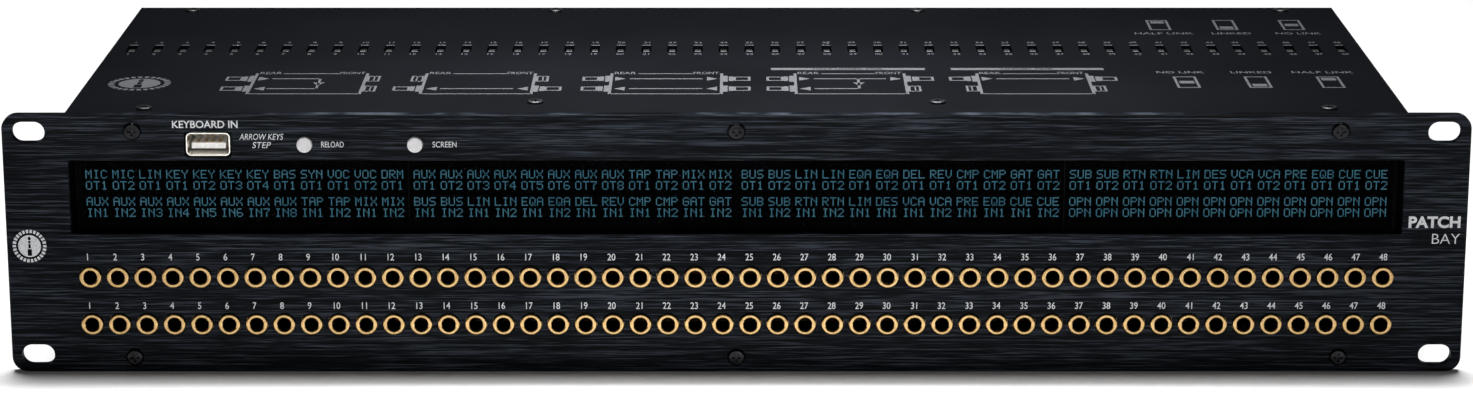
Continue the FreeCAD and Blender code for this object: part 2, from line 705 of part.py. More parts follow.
def dsub_insert(x, z):
    """Moulded insert that fills the shell, with a block behind for the solder pins."""
    inset = 2 * (DSUB_SKIN_T + DSUB_INSERT_GAP)
    inside = CASE_DEPTH - DSUB_INNER_L
    outside = CASE_DEPTH + DSUB_PROUD - 0.5
    core = d_prism(x, z, DSUB_FACE_W - inset, DSUB_FACE_H - inset, inside - 1, outside)
    back = slab(x, DSUB_FACE_W, REAR_BOARD_DEPTH + BOARD_T, inside - 0.5, z, DSUB_FACE_H + 1)
    return core.fuse(back).removeSplitter()


def jackscrew(x, z):
    """Hexagonal post with a threaded hole in its end and a shank through the flange."""
    seat = CASE_DEPTH + DSUB_FLANGE_T
    end = CASE_DEPTH + DSUB_PROUD
    head = hexagon(JACKSCREW_AF, x, z, seat, end)
    shank = rod(JACKSCREW_R, x, z, CASE_DEPTH - JACKSCREW_SHANK_L, seat + 0.1)
    thread = rod(JACKSCREW_THREAD_R, x, z, end - JACKSCREW_THREAD_L, end + 1)
    return head.fuse(shank).cut(thread).removeSplitter()


def make_rear():
    """Twelve D-sub connectors, the board behind them, and the DC inlet."""
    screws = [jackscrew(screw_x, z) for x, z in DSUB_PLACES for screw_x in jackscrew_xs(x)]
    save("dsub_shells", [dsub_shell(x, z) for x, z in DSUB_PLACES])
    save("dsub_inserts", [dsub_insert(x, z) for x, z in DSUB_PLACES])
    save("dsub_jackscrews", screws)
    rear = REAR_BOARD_DEPTH + BOARD_T
    save("rear_board", [block(-196, 196, REAR_BOARD_DEPTH, rear, 10, 76)])
    barrel = rod(INLET_BODY_R, INLET_X, INLET_Z, CASE_DEPTH - 11, CASE_DEPTH + 0.1)
    collar = rod(INLET_COLLAR_R, INLET_X, INLET_Z, CASE_DEPTH + 0.1, CASE_DEPTH + 1.8)
    socket = rod(INLET_BORE_R, INLET_X, INLET_Z, CASE_DEPTH - INLET_BORE_L, CASE_DEPTH + 3)
    save("dc_inlet", [barrel.fuse(collar).cut(socket).removeSplitter()])
    pin = rod(INLET_PIN_R, INLET_X, INLET_Z, CASE_DEPTH - INLET_BORE_L, CASE_DEPTH + 1)
    save("dc_pin", [pin])


# ---- ribbon cables ----


def make_ribbons():
    """Flat cables from the jack board up to the switch board, and from there to the rear board."""
    under = SWITCH_BOARD_Z - RIBBON_T
    to_switches = [(38.2, 30), (60, 30), (78, 44), (86, under), (98, under)]
    to_rear = [(REAR_BOARD_DEPTH, 40), (148, 40), (136, 50), (126, under), (112, under)]
    ribbons = []
    for index in range(RIBBON_COUNT):
        x = (index - (RIBBON_COUNT - 1) / 2) * RIBBON_PITCH
        ribbons.append(strip(to_switches, RIBBON_T, x, RIBBON_W))
        ribbons.append(strip(to_rear, RIBBON_T, x, RIBBON_W))
    save("ribbon_cables", ribbons)


# ---- build ----


def make_case():
    """Sheet-metal parts and the screws that hold them."""
    save("front_panel", [front_panel()])
    save("chassis_tray", [chassis_tray()])
    save("front_rail", [front_rail()])
    save("top_cover", [top_cover()])
    save("rear_panel", [rear_panel()])
    save("front_panel_screws", [panel_screw(x, z) for x, z in PANEL_SCREWS])
    on_cover = [pan_screw(x, d, CASE_TOP_Z, COVER_SCREW_HEAD_H) for x, d in RAIL_SCREWS + REAR_SCREWS]
    save("cover_screws", on_cover)
    under_base = [pan_screw(x, d, CASE_LOW_Z, BASE_SCREW_HEAD_H, True) for x, d in BASE_SCREWS]
    save("base_screws", under_base)


make_case()
make_jacks()
make_display()
make_usb()
make_controls()
make_switches()
make_rear()
make_ribbons()
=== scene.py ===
import json
import math

import bpy
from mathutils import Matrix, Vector


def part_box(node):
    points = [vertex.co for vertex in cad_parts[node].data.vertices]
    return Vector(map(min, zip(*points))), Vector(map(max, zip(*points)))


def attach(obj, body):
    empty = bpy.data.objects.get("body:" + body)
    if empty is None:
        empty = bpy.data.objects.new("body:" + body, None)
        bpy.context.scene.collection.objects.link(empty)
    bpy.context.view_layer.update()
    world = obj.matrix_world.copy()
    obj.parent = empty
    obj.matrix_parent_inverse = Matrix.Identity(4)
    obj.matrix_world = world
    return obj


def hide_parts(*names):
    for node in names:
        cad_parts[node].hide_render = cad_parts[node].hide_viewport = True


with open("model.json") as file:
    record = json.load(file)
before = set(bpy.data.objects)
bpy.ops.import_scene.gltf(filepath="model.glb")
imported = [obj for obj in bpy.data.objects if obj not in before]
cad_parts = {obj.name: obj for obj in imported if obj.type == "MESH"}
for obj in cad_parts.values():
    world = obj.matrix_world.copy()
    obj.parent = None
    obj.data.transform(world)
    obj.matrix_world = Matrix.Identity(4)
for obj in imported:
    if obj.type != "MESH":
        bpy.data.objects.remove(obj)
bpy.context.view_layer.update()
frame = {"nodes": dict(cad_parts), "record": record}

# The looks of a rack-mounting audio patch bay: brushed black front, long dot-matrix display,
# two rows of gilt jacks, printed legends, and a powder-coated case with sockets behind.
# Lengths are millimetres until an on_ function turns them into a point in metres. Noise scales,
# relief depths, lights and the camera are in metres from the start.

MM = 0.001

FACE_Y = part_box("front_panel")[0].y
COVER_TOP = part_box("top_cover")[1].z
REAR_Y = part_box("rear_panel")[1].y
GLASS_DEPTH = (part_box("display_modules")[0].y - FACE_Y) / MM
SOCKET_FACE = (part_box("dsub_inserts")[1].y - REAR_Y) / MM


def mount_places(prefix):
    """(X, Z) of the record's mounts whose names start with a prefix, in the order of the names."""
    mounts = [m for m in frame["record"]["mounts"] if m["name"].startswith(prefix)]
    mounts.sort(key=lambda m: m["name"])
    return [(m["pos_m"][0] / MM, m["pos_m"][2] / MM) for m in mounts]


JACKS = {"upper": mount_places("jack_upper"), "lower": mount_places("jack_lower")}
SOCKETS = mount_places("dsub_")

# ---- faces to print on: (across, up, lift) to a point ----


def on_panel(u, v, lift=0.0):
    """A point on the front panel, seen from the front."""
    return Vector((u * MM, FACE_Y - lift * MM, v * MM))


def on_glass(u, v, lift=0.0):
    """A point on the glass of the display modules, seen from the front."""
    return on_panel(u, v, lift - GLASS_DEPTH)


def on_cover(u, v, lift=0.0):
    """A point on the top cover: v is the depth behind the panel's face."""
    return Vector((u * MM, FACE_Y + v * MM, COVER_TOP + lift * MM))


def on_rear(u, v, lift=0.0):
    """A point on the rear panel, seen from behind."""
    return Vector((-u * MM, REAR_Y + lift * MM, v * MM))


# ---- materials ----


def material(name, metallic=0.0, specular=0.5, roughness=0.5):
    """A new Principled material with its uniform values set on the shader."""
    made = bpy.data.materials.new(name)
    made.use_nodes = True
    shader = made.node_tree.nodes["Principled BSDF"]
    shader.inputs["Metallic"].default_value = metallic
    shader.inputs["Specular IOR Level"].default_value = specular
    shader.inputs["Roughness"].default_value = roughness
    return made, made.node_tree, shader


def noise(tree, scale, detail, rough):
    """Noise in a piece's own metres: scale is features per metre, for all axes or each of them."""
    where = tree.nodes.new("ShaderNodeTexCoord")
    stretch = tree.nodes.new("ShaderNodeMapping")
    stretch.inputs["Scale"].default_value = scale if isinstance(scale, tuple) else (scale,) * 3
    texture = tree.nodes.new("ShaderNodeTexNoise")
    texture.inputs["Scale"].default_value = 1.0
    texture.inputs["Detail"].default_value = detail
    texture.inputs["Roughness"].default_value = rough
    tree.links.new(where.outputs["Object"], stretch.inputs["Vector"])
    tree.links.new(stretch.outputs["Vector"], texture.inputs["Vector"])
    return texture.outputs["Fac"]


def ramp(tree, factor, *stops):
    """A colour ramp: stops are (position, colour) pairs."""
    node = tree.nodes.new("ShaderNodeValToRGB")
    elements = node.color_ramp.elements
    while len(elements) < len(stops):
        elements.new(0.5)
    for element, (position, colour) in zip(elements, stops):
        element.position = position
        element.color = (*colour, 1.0)
    tree.links.new(factor, node.inputs["Fac"])
    return node.outputs["Color"]


def spread(tree, factor, low, high):
    """A factor from 0 to 1 mapped to low to high."""
    node = tree.nodes.new("ShaderNodeMapRange")
    node.inputs["To Min"].default_value = low
    node.inputs["To Max"].default_value = high
    tree.links.new(factor, node.inputs["Value"])
    return node.outputs["Result"]


def blended(tree, first, second, share):
    """Two factors mixed in a fixed share."""
    node = tree.nodes.new("ShaderNodeMix")
    node.inputs["Factor"].default_value = share
    tree.links.new(first, node.inputs["A"])
    tree.links.new(second, node.inputs["B"])
    return node.outputs["Result"]


def connect(tree, shader, tint, roughness):
    """Give a shader its colour and its roughness."""
    tree.links.new(tint, shader.inputs["Base Color"])
    tree.links.new(roughness, shader.inputs["Roughness"])


def bump(tree, shader, height, depth, strength):
    """Surface relief of a depth in metres."""
    node = tree.nodes.new("ShaderNodeBump")
    node.inputs["Strength"].default_value = strength
    node.inputs["Distance"].default_value = depth
    tree.links.new(height, node.inputs["Height"])
    tree.links.new(node.outputs["Normal"], shader.inputs["Normal"])


def brushed_black():
    """Anodised aluminium brushed along X: fine lines over broader, longer streaks."""
    made, tree, shader = material("brushed_black_anodised", specular=0.04)
    fine = noise(tree, (75.0, 75.0, 3000.0), 2.0, 0.6)
    broad = noise(tree, (15.0, 15.0, 1500.0), 4.0, 0.65)
    lines = blended(tree, fine, broad, 0.5)
    tint = ramp(
        tree, lines,
        (0.42, (0.0002, 0.0005, 0.001)),
        (0.51, (0.0024, 0.0036, 0.0058)),
        (0.61, (0.03, 0.036, 0.046)),
    )
    connect(tree, shader, tint, spread(tree, lines, 0.34, 0.56))
    bump(tree, shader, lines, 0.00003, 0.6)
    return made


def powder_coat(name, low, high):
    """Fine-textured powder coat with slight patches of colour."""
    made, tree, shader = material(name, specular=0.02)
    patches = noise(tree, 14.0, 3.0, 0.5)
    grain = noise(tree, 2600.0, 2.0, 0.5)
    tint = ramp(tree, blended(tree, patches, grain, 0.45), (0.35, low), (0.65, high))
    connect(tree, shader, tint, spread(tree, grain, 0.5, 0.66))
    bump(tree, shader, grain, 0.00003, 0.5)
    return made


def metal(name, dark, light, roughness, scale=400.0):
    """Plated or oxidised metal with a faint cloudy variation and fine marks."""
    made, tree, shader = material(name, metallic=1.0)
    cloud = noise(tree, scale, 4.0, 0.6)
    marks = noise(tree, (3800.0, 900.0, 3800.0), 2.0, 0.6)
    mixed = blended(tree, cloud, marks, 0.4)
    tint = ramp(tree, mixed, (0.3, dark), (0.7, light))
    connect(tree, shader, tint, spread(tree, mixed, *roughness))
    bump(tree, shader, marks, 0.000004, 0.5)
    return made


def plastic(name, dark, light, roughness, specular=0.5, scale=900.0):
    """Moulded plastic with a fine spark-eroded grain."""
    made, tree, shader = material(name, specular=specular)
    grain = noise(tree, scale, 3.0, 0.55)
    tint = ramp(tree, grain, (0.35, dark), (0.65, light))
    connect(tree, shader, tint, spread(tree, grain, *roughness))
    bump(tree, shader, grain, 0.00001, 0.5)
    return made


def smoked_pane():
    """Dark tinted acrylic that lets the lit dots through."""
    made, tree, shader = material("smoked_acrylic", specular=0.005)
    haze = noise(tree, 30.0, 3.0, 0.5)
    tint = ramp(tree, haze, (0.3, (0.0008, 0.0009, 0.0014)), (0.7, (0.0012, 0.0013, 0.002)))
    connect(tree, shader, tint, spread(tree, haze, 0.02, 0.05))
    shader.inputs["Alpha"].default_value = 0.15
    return made


def display_glass():
    """Black glass of the display modules."""
    made, tree, shader = material("display_black_glass", specular=0.01)
    haze = noise(tree, 60.0, 3.0, 0.5)
    tint = ramp(tree, haze, (0.3, (0.0004, 0.0004, 0.0007)), (0.7, (0.0008, 0.0009, 0.0014)))
    connect(tree, shader, tint, spread(tree, haze, 0.35, 0.45))
    return made


def lit_dots():
    """Blue-green display dots, slightly uneven from place to place."""
    made, tree, shader = material("display_dots_lit", specular=0.1, roughness=0.6)
    shader.inputs["Base Color"].default_value = (0.004, 0.008, 0.01, 1.0)
    uneven = noise(tree, (45.0, 45.0, 220.0), 3.0, 0.6)
    glow = ramp(tree, uneven, (0.35, (0.032, 0.115, 0.16)), (0.65, (0.055, 0.165, 0.22)))
    tree.links.new(glow, shader.inputs["Emission Color"])
    shader.inputs["Emission Strength"].default_value = 1.15
    return made


def ink(name, dark, light):
    """Screen-printed ink, thin in places."""
    made, tree, shader = material(name, specular=0.3)
    cover = noise(tree, 1500.0, 3.0, 0.6)
    tint = ramp(tree, cover, (0.35, dark), (0.6, light))
    connect(tree, shader, tint, spread(tree, cover, 0.5, 0.7))
    return made


def circuit_board():
    """Green solder mask with darker and lighter runs of copper under it."""
    made, tree, shader = material("circuit_board_green")
    runs = noise(tree, (420.0, 60.0, 420.0), 1.0, 0.4)
    tint = ramp(tree, runs, (0.46, (0.012, 0.085, 0.03)), (0.52, (0.03, 0.16, 0.06)))
    connect(tree, shader, tint, spread(tree, runs, 0.3, 0.4))
    bump(tree, shader, runs, 0.00003, 0.6)
    return made


# Each finish runs from a darker to a lighter colour, and from a smoother to a rougher surface
COAT = ((0.0021, 0.0024, 0.0032), (0.004, 0.0045, 0.0058))
BRUSHED = brushed_black()
POWDER = powder_coat("black_powder_coat", *COAT)
STEEL = metal("plated_steel", (0.5, 0.49, 0.46), (0.74, 0.72, 0.68), (0.22, 0.36))
SHELL_STEEL = metal("tinned_socket_steel", (0.72, 0.68, 0.6), (0.92, 0.89, 0.82), (0.16, 0.3))
GOLD = metal("gilt_brass", (0.3, 0.18, 0.067), (0.52, 0.36, 0.17), (0.16, 0.26), 700.0)
BRONZE = metal("spring_bronze", (0.6, 0.36, 0.17), (0.8, 0.54, 0.28), (0.55, 0.7))
OXIDE = metal("black_oxide", (0.004, 0.004, 0.005), (0.03, 0.03, 0.032), (0.16, 0.26))
# A lighter copy of the black screw finish, for the screws on the cover: painted highlight for the
# light they catch from above
SCREW_PAINTED_HIGHLIGHT = metal("black_screw_painted_highlight", (0.016, 0.016, 0.018), (0.1, 0.1, 0.106), (0.32, 0.46))
BLACK_PLASTIC = plastic(
    "black_moulding", (0.008, 0.008, 0.009), (0.018, 0.018, 0.02), (0.42, 0.56)
)
LEVER_PLASTIC = plastic("lever_moulding", (0.006, 0.006, 0.007), (0.014, 0.014, 0.016), (0.4, 0.5))
WHITE_PLASTIC = plastic("white_moulding", (0.72, 0.7, 0.68), (0.85, 0.84, 0.82), (0.35, 0.45))
CAP_PLASTIC = plastic(
    "button_moulding", (0.5, 0.49, 0.5), (0.56, 0.55, 0.56), (0.42, 0.5), scale=1600.0
)
RIBBON = plastic("ribbon_insulation", (0.24, 0.24, 0.26), (0.34, 0.34, 0.36), (0.45, 0.6))
BOARD = circuit_board()
PANE = smoked_pane()
GLASS = display_glass()
DOTS = lit_dots()
PANEL_INK = ink("panel_ink", (0.42, 0.43, 0.44), (0.58, 0.59, 0.6))
# The cover's ink, used also for the painted highlights at the rear ends of the switch slots
COVER_INK_AND_SLOT_HIGHLIGHT = ink("cover_ink", (0.04, 0.042, 0.046), (0.067, 0.07, 0.076))
REAR_INK = ink("rear_ink", (0.3, 0.31, 0.32), (0.45, 0.46, 0.47))
SOCKET_GOLD = metal("socket_gold", (0.5, 0.33, 0.12), (0.7, 0.5, 0.2), (0.3, 0.4))
# Near-black discs in the middles of the socket contacts: painted shade for the depth of their
# bores
SOCKET_BORE_SHADE = plastic(
    "painted_bore_shade", (0.001, 0.001, 0.001), (0.002, 0.002, 0.002), (0.6, 0.7), specular=0.1
)
KNOCK_OUT = powder_coat("unprinted_coat", *COAT)

NODE_MATERIALS = {
    "front_panel": BRUSHED,
    "chassis_tray": POWDER,
    "rear_panel": POWDER,
    "top_cover": POWDER,
    "front_rail": STEEL,
    "display_bracket": POWDER,
    "board_standoffs": STEEL,
    "front_panel_screws": OXIDE,
    "cover_screws": SCREW_PAINTED_HIGHLIGHT,
    "base_screws": OXIDE,
    "display_window": PANE,
    "display_modules": GLASS,
    "display_boards": BLACK_PLASTIC,
    "jack_board": BOARD,
    "switch_board": BOARD,
    "rear_board": BOARD,
    "control_board": BOARD,
    "jack_bushings_upper": GOLD,
    "jack_bushings_lower": GOLD,
    "jack_housings_upper": BLACK_PLASTIC,
    "jack_housings_lower": BLACK_PLASTIC,
    "jack_tip_springs": BRONZE,
    "jack_ring_springs": BRONZE,
    "switch_bodies": BLACK_PLASTIC,
    "ribbon_cables": RIBBON,
    "dsub_shells": STEEL,
    "dsub_inserts": BLACK_PLASTIC,
    "dsub_jackscrews": STEEL,
    "dc_inlet": BLACK_PLASTIC,
    "dc_pin": STEEL,
    "usb_shell": SHELL_STEEL,
    "usb_tongue": WHITE_PLASTIC,
    "usb_contacts": GOLD,
    "tact_switches": BLACK_PLASTIC,
    "update_button": CAP_PLASTIC,
    "display_button": CAP_PLASTIC,
}


CAD_CREASE = math.radians(32)
PIECE_CREASE = math.radians(40)


def finish_cad_nodes():
    """Give every CAD node its material and smooth its rounded faces; the rest are levers."""
    for name, node in frame["nodes"].items():
        node.data.materials.clear()
        node.data.materials.append(NODE_MATERIALS.get(name, LEVER_PLASTIC))
        node.data.shade_smooth()
        node.data.set_sharp_from_angle(angle=CAD_CREASE)


# ---- pieces ----


def add_piece(name, points, faces, finish, smooth=False):
    """A new mesh from points in metres, riding on the case."""
    mesh = bpy.data.meshes.new(name)
    mesh.from_pydata([tuple(p) for p in points], [], faces)
    mesh.validate()
    mesh.materials.append(finish)
    if smooth:
        mesh.shade_smooth()
        mesh.set_sharp_from_angle(angle=PIECE_CREASE)
    piece = bpy.data.objects.new(name, mesh)
    bpy.context.scene.collection.objects.link(piece)
    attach(piece, "case")
    return piece


def word_mesh(text, slant=0.0, weight=0.0):
    """Vertices and faces of a word at text size 1, centred across and in thickness."""
    curve = bpy.data.curves.new("word", "FONT")
    curve.body = text
    curve.align_x = "CENTER"
    curve.shear = slant
    curve.offset = weight
    curve.resolution_u = 4
    curve.extrude = 0.5
    holder = bpy.data.objects.new("word", curve)
    mesh = bpy.data.meshes.new_from_object(holder)
    points = [v.co.copy() for v in mesh.vertices]
    faces = [tuple(p.vertices) for p in mesh.polygons]
    bpy.data.objects.remove(holder)
    bpy.data.curves.remove(curve)
    bpy.data.meshes.remove(mesh)
    return points, faces


CAP_HEIGHT = max(p.y for p in word_mesh("H")[0])
INK_T = 0.02            # thickness of a print
TEXT_WEIGHT = 0.01      # extra stroke of the words on the cover and the rear
ARROW_LENGTH, ARROW_HALF = 3.7, 2.8
ARC_STEPS = 4


class Print:
    """Ink shapes on one face, gathered into a single piece."""

    def __init__(self, place, lift=0.0):
        self.place = place
        self.low = lift
        self.high = lift + INK_T
        self.points = []
        self.faces = []

    def prism(self, outline):
        """A filled outline, given counter-clockwise."""
        first, count = len(self.points), len(outline)
        for lift in (self.low, self.high):
            self.points += [self.place(u, v, lift) for u, v in outline]
        self.faces.append(tuple(range(first + count, first + 2 * count)))
        self.faces.append(tuple(reversed(range(first, first + count))))
        for i in range(count):
            j = (i + 1) % count
            self.faces.append((first + i, first + j, first + count + j, first + count + i))

    def rectangle(self, u0, v0, u1, v1):
        """A filled rectangle between two corners."""
        self.prism([(u0, v0), (u1, v0), (u1, v1), (u0, v1)])

    def outline(self, u0, v0, u1, v1, width):
        """A rectangle drawn as four bars."""
        self.rectangle(u0, v0, u1, v0 + width)
        self.rectangle(u0, v1 - width, u1, v1)
        self.rectangle(u0, v0 + width, u0 + width, v1 - width)
        self.rectangle(u1 - width, v0 + width, u1, v1 - width)

    def arrow(self, u, v, direction):
        """A triangle with its tip at (u, v), pointing +1 or -1 along u."""
        tail = u - direction * ARROW_LENGTH
        corners = [(u, v), (tail, v + ARROW_HALF), (tail, v - ARROW_HALF)]
        self.prism(corners if direction > 0 else corners[::-1])

    def disc(self, u, v, radius, steps=48):
        """A filled circle."""
        turns = [2 * math.pi * i / steps for i in range(steps)]
        self.prism([(u + radius * math.cos(t), v + radius * math.sin(t)) for t in turns])

    def sector(self, u, v, inner, outer, start, end):
        """Part of a ring between two angles, in radians."""
        turns = [start + (end - start) * i / ARC_STEPS for i in range(ARC_STEPS + 1)]
        rim = [(u + outer * math.cos(t), v + outer * math.sin(t)) for t in turns]
        hub = [(u + inner * math.cos(t), v + inner * math.sin(t)) for t in reversed(turns)]
        self.prism(rim + hub)

    def word(self, text, u, v, height, width=None, slant=0.0, weight=0.0, condense=1.0):
        """A word centred at (u, v), with capitals of a height; condensed, or fitted to a width."""
        points, faces = word_mesh(text, slant, weight)
        size = height / CAP_HEIGHT
        middle = height / 2
        left, right = min(p.x for p in points), max(p.x for p in points)
        across = width / (right - left) if width else size * condense
        offset = (left + right) / 2
        first = len(self.points)
        for p in points:
            lift = self.low + (p.z + 0.5) * INK_T
            at = (u + (p.x - offset) * across, v + p.y * size - middle)
            self.points.append(self.place(*at, lift))
        self.faces += [tuple(first + i for i in face) for face in faces]

    def piece(self, name, finish, slot):
        """All the shapes as one piece on the case."""
        return add_piece(name, self.points, self.faces, finish)


# ---- turned bushings ----

BORE_R, SLEEVE_R, COLLAR_R = 2.2, 3.65, 4.2
LIP_PROUD = 0.9         # how far the lip stands in front of the panel
LIP_ROUND = 0.45        # how much of that is its rounding
BORE_START = 1.2        # depths behind the panel's face
COLLAR_START, COLLAR_END = 3.1, 4.3
SLEEVE_END = 9.0
LIP_STEPS = 12
TURNS = 40


def bushing_profile():
    """(radius, depth) pairs of a bushing: out of the bore, round the lip, and back to its end."""
    middle = (BORE_R + SLEEVE_R) / 2
    half = (SLEEVE_R - BORE_R) / 2
    rim = LIP_ROUND - LIP_PROUD
    line = [(BORE_R, SLEEVE_END), (BORE_R, BORE_START)]
    for step in range(LIP_STEPS + 1):
        angle = math.pi * (1 - step / LIP_STEPS)
        line.append((middle + half * math.cos(angle), rim - LIP_ROUND * math.sin(angle)))
    line += [(SLEEVE_R, COLLAR_START), (COLLAR_R, COLLAR_START), (COLLAR_R, COLLAR_END)]
    line += [(SLEEVE_R, COLLAR_END), (SLEEVE_R, SLEEVE_END)]
    return line


def bushings(row):
    """One row of gilt bushings, turned with a full round lip, in place of the plain ones."""
    profile = bushing_profile()
    points, faces = [], []
    count = len(profile)
    for x, z in JACKS[row]:
        first = len(points)
        for turn in range(TURNS):
            angle = 2 * math.pi * turn / TURNS
            across, up = math.cos(angle), math.sin(angle)
            points += [on_panel(x + r * across, z + r * up, -depth) for r, depth in profile]
        for turn in range(TURNS):
            here = first + turn * count
            there = first + (turn + 1) % TURNS * count
            for i in range(count):
                j = (i + 1) % count
                faces.append((here + i, here + j, there + j, there + i))
    node = "jack_bushings_" + row
    name = "turned_bushings_" + row
    piece = add_piece(name, points, faces, GOLD, smooth=True)
    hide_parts(node)


# ---- front panel legends ----

NUMBER_H = 2.25
NUMBER_WEIGHT = 0.005
NUMBER_CONDENSE = 0.84
NUMBER_RISE = {"upper": 6.85, "lower": 6.4}
NUMBER_SHIFT = 0.7      # the first number stands this far left of its jack, the last right over it
ITALIC = 0.22

# (text, across, up, height, width, slant, weight)
PANEL_WORDS = [
    ("KEYBOARD IN", -174.4, 84.8, 2.35, 21.5, 0.0, 0.014),
    ("ARROW KEYS", -156.0, 80.6, 2.0, 14.5, ITALIC, 0.0),
    ("STEP", -156.0, 77.8, 2.0, 6.2, ITALIC, 0.0),
    ("RELOAD", -132.7, 78.0, 1.9, 7.4, 0.0, 0.0),
    ("SCREEN", -95.9, 78.0, 1.9, 7.9, 0.0, 0.0),
    ("PATCH", 230.5, 51.6, 3.57, 17.1, 0.0, 0.035),
    ("BAY", 234.5, 45.9, 3.5, 9.2, 0.0, -0.012),
]

PANEL_ROUNDEL = (-233.8, 43.4)
PANEL_ROUNDEL_R, PANEL_SYMBOL = 5.6, 3.5
ROUNDEL_DISC, ROUNDEL_RING = 0.67, 0.8      # shares of the roundel's radius
ROUNDEL_TICKS = 26
TICK_HALF = 0.32        # share of the room between two ticks' middles

# A phone plug standing upright, in shares of its size: (half width, low, high) bars, and the tip
PLUG_BARS = ((0.2, -0.95, -0.3), (0.11, -0.22, 0.2), (0.11, 0.27, 0.5))
PLUG_TIP = ((0.11, 0.57), (0.15, 0.78), (0.0, 0.97), (-0.15, 0.78), (-0.11, 0.57))


def roundel(sheet, u, v, radius):
    """A plain disc in a ring of ticks; its plug symbol is drawn by plug_symbol."""
    sheet.disc(u, v, radius * ROUNDEL_DISC)
    half = TICK_HALF * 2 * math.pi / ROUNDEL_TICKS
    for i in range(ROUNDEL_TICKS):
        middle = 2 * math.pi * i / ROUNDEL_TICKS
        sheet.sector(u, v, radius * ROUNDEL_RING, radius, middle - half, middle + half)


def plug_symbol(sheet, u, v, size):
    """A phone plug: grip, sleeve, ring and tip."""
    for half, low, high in PLUG_BARS:
        sheet.rectangle(u - half * size, v + low * size, u + half * size, v + high * size)
    sheet.prism([(u + du * size, v + dv * size) for du, dv in PLUG_TIP])


def panel_legends():
    """Jack numbers, control names, the roundel and the name of the thing at the right."""
    sheet = Print(on_panel)
    for row, jacks in JACKS.items():
        for index, (x, z) in enumerate(jacks):
            at = (x - NUMBER_SHIFT * (1 - index / (len(jacks) - 1)), z + NUMBER_RISE[row])
            number = str(index + 1)
            sheet.word(number, *at, NUMBER_H, weight=NUMBER_WEIGHT, condense=NUMBER_CONDENSE)
    for word in PANEL_WORDS:
        sheet.word(*word)
    roundel(sheet, *PANEL_ROUNDEL, PANEL_ROUNDEL_R)
    sheet.piece("panel_legends", PANEL_INK, "panel_ink")
    symbol = Print(on_panel, INK_T)
    plug_symbol(symbol, *PANEL_ROUNDEL, PANEL_SYMBOL)
    symbol.piece("panel_roundel_symbol", KNOCK_OUT, "powder_black")


# ---- display text ----

MODULES = 4
MODULE_PITCH = 108.4
MODULE_LABELS = 12
DOT_PITCH = MODULE_PITCH / 256
DOT_SIZE = 0.36
DOT_LIFT = 0.01
TEXT_Z = 60.2
# The next five are counted in dots
LABEL_DOTS = 21
LETTER_DOTS = 6
MARGIN = 124            # from a module's middle to the left of its first label
LINE_OFFSETS = (15.5, 6.5, -6.5, -15.5)
MIDDLE_ROW = 3

# Five-by-seven letters: one group of dots per row, from the top
GLYPHS = {
    "A": ".###. #...# #...# ##### #...# #...# #...#",
    "B": "####. #...# #...# ####. #...# #...# ####.",
    "C": ".###. #...# #.... #.... #.... #...# .###.",
    "D": "####. #...# #...# #...# #...# #...# ####.",
    "E": "##### #.... #.... ####. #.... #.... #####",
    "G": ".###. #...# #.... #.### #...# #...# .###.",
    "I": ".###. ..#.. ..#.. ..#.. ..#.. ..#.. .###.",
    "K": "#...# #..#. #.#.. ##... #.#.. #..#. #...#",
    "L": "#.... #.... #.... #.... #.... #.... #####",
    "M": "#...# ##.## #.#.# #.#.# #...# #...# #...#",
    "N": "#...# ##..# #.#.# #..## #...# #...# #...#",
    "O": ".###. #...# #...# #...# #...# #...# .###.",
    "P": "####. #...# #...# ####. #.... #.... #....",
    "Q": ".###. #...# #...# #...# #.#.# #..#. .##.#",
    "R": "####. #...# #...# ####. #.#.. #..#. #...#",
    "S": ".#### #.... #.... .###. ....# ....# ####.",
    "T": "##### ..#.. ..#.. ..#.. ..#.. ..#.. ..#..",
    "U": "#...# #...# #...# #...# #...# #...# .###.",
    "V": "#...# #...# #...# #...# #...# .#.#. ..#..",
    "X": "#...# #...# .#.#. ..#.. .#.#. #...# #...#",
    "Y": "#...# #...# .#.#. ..#.. ..#.. ..#.. ..#..",
    "1": "..#.. .##.. ..#.. ..#.. ..#.. ..#.. .###.",
    "2": ".###. #...# ....# ...#. ..#.. .#... #####",
    "3": ".###. #...# ....# ..##. ....# #...# .###.",
    "4": "...#. ..##. .#.#. #..#. ##### ...#. ...#.",
    "5": "##### #.... ####. ....# ....# #...# .###.",
    "6": ".###. #.... #.... ####. #...# #...# .###.",
    "7": "##### ....# ...#. ..#.. ..#.. ..#.. ..#..",
    "8": ".###. #...# #...# .###. #...# #...# .###.",
}

# (name, how many channels it has), a dozen channels to each group
SOURCES = [("MIC", 2), ("LIN", 1), ("KEY", 4), ("BAS", 1), ("SYN", 1), ("VOC", 2), ("DRM", 1)]
INSERTS = [("AUX", 8), ("TAP", 2), ("MIX", 2)]
BUSES = [("BUS", 2), ("LIN", 2), ("EQA", 2), ("DEL", 1), ("REV", 1), ("CMP", 2), ("GAT", 2)]
RETURNS = [
    ("SUB", 2), ("RTN", 2), ("LIM", 1), ("DES", 1), ("VCA", 2), ("PRE", 1), ("EQB", 1), ("CUE", 2)
]


def labels(groups, ending):
    """Two-line labels: the name, then the ending with the channel's number in its group."""
    return [(name, ending + str(n + 1)) for name, count in groups for n in range(count)]


UPPER_LABELS = labels(SOURCES + INSERTS + BUSES + RETURNS, "OT")
LOWER_LABELS = labels(INSERTS + BUSES + RETURNS, "IN") + [("OPN", "OPN")] * MODULE_LABELS


def letter_dots(letter, left, middle):
    """(u, v) of the lit dots of a letter, from its left edge and the height of its middle row."""
    for row, dots in enumerate(GLYPHS[letter].split()):
        for step, dot in enumerate(dots):
            if dot == "#":
                yield left + (step + 0.5) * DOT_PITCH, middle + (MIDDLE_ROW - row) * DOT_PITCH


